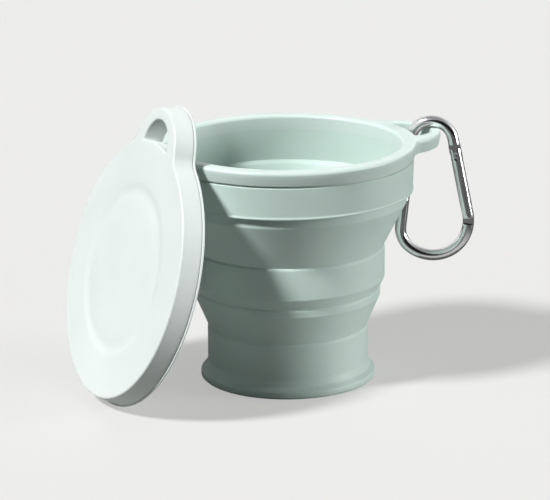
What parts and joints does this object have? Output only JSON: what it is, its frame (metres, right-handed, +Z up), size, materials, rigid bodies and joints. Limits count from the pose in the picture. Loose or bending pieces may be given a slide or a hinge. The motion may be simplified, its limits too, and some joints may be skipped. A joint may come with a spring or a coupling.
{
  "type": "collapsible travel cup",
  "caption": "Stepped soft cup that folds down in two stages, with a tabbed rim collar, a shallow press-on lid leaning beside it and a sprung-gate carabiner.",
  "frame": {"origin": "centre of the cup's underside, on the table", "axes": "+Z up along the cup's axis, +X along the tab of the rim collar"},
  "size_m": [0.143, 0.0952, 0.1008],
  "materials": {
    "silicone": "satin",
    "collar": "satin",
    "lid": "satin",
    "clip": "polished",
    "pin": "satin"
  },
  "bodies": {
    "base": {"base_cup": "silicone"},
    "lower_inner": {"lower_fold_inner": "silicone"},
    "lower_outer": {"lower_fold_outer": "silicone"},
    "middle": {"middle_band": "silicone"},
    "upper_1": {"upper_fold_1": "silicone"},
    "upper_2": {"upper_fold_2": "silicone"},
    "upper_3": {"upper_fold_3": "silicone"},
    "upper_4": {"upper_fold_4": "silicone"},
    "rim": {"upper_band": "silicone", "rim_collar": "collar"},
    "lid": {"lid": "lid"},
    "carabiner": {"carabiner_body": "clip", "gate_rivet": "pin"},
    "gate": {"carabiner_gate": "clip", "latch_pin": "pin", "gate_spring": "pin"},
    "plunger": {"gate_plunger": "pin"}
  },
  "joints": [
    {"name": "lower_fold", "type": "slide", "parent": "base", "child": "middle", "axis": [0, 0, -1], "range_m": [0, 0.0213]},
    {"name": "lower_ring_1", "type": "slide", "parent": "base", "child": "lower_inner", "axis": [0, 0, -1], "range_m": [0, 0.00711]},
    {"name": "lower_ring_2", "type": "slide", "parent": "base", "child": "lower_outer", "axis": [0, 0, -1], "range_m": [0, 0.01421]},
    {"name": "upper_fold", "type": "slide", "parent": "middle", "child": "rim", "axis": [0, 0, -1], "range_m": [0, 0.0301]},
    {"name": "upper_ring_1", "type": "slide", "parent": "middle", "child": "upper_1", "axis": [0, 0, -1], "range_m": [0, 0.00603]},
    {"name": "upper_ring_2", "type": "slide", "parent": "middle", "child": "upper_2", "axis": [0, 0, -1], "range_m": [0, 0.01205]},
    {"name": "upper_ring_3", "type": "slide", "parent": "middle", "child": "upper_3", "axis": [0, 0, -1], "range_m": [0, 0.01807]},
    {"name": "upper_ring_4", "type": "slide", "parent": "middle", "child": "upper_4", "axis": [0, 0, -1], "range_m": [0, 0.02409]},
    {"name": "lid_lift", "type": "slide", "parent": "base", "child": "lid", "axis": [-0.9585, -0.0402, 0.2823], "range_m": [0, 0.1]},
    {"name": "carabiner_swing", "type": "hinge", "parent": "rim", "child": "carabiner", "pos_m": [0.05455, -0.0015, 0.07845], "axis": [-0.5344, -0.8453, 0], "range_deg": [-2, 95]},
    {"name": "gate_swing", "type": "hinge", "parent": "carabiner", "child": "gate", "pos_m": [0.06532, -0.00831, 0.05346], "axis": [-0.5344, -0.8453, 0], "range_deg": [0, 28], "stiffness_Nm_per_rad": 0.01, "springref_deg": -17.19},
    {"name": "plunger_slide", "type": "slide", "parent": "gate", "child": "plunger", "axis": [-0.1656, 0.1047, 0.9806], "range_m": [0, 0.0003]}
  ],
  "couplings": [
    {"joint": "lower_ring_1", "follows": "lower_fold", "ratio": 0.33333},
    {"joint": "lower_ring_2", "follows": "lower_fold", "ratio": 0.66667},
    {"joint": "upper_ring_1", "follows": "upper_fold", "ratio": 0.2},
    {"joint": "upper_ring_2", "follows": "upper_fold", "ratio": 0.4},
    {"joint": "upper_ring_3", "follows": "upper_fold", "ratio": 0.6},
    {"joint": "upper_ring_4", "follows": "upper_fold", "ratio": 0.8},
    {"joint": "plunger_slide", "follows": "gate_swing", "m_per_rad": 0.000573}
  ]
}
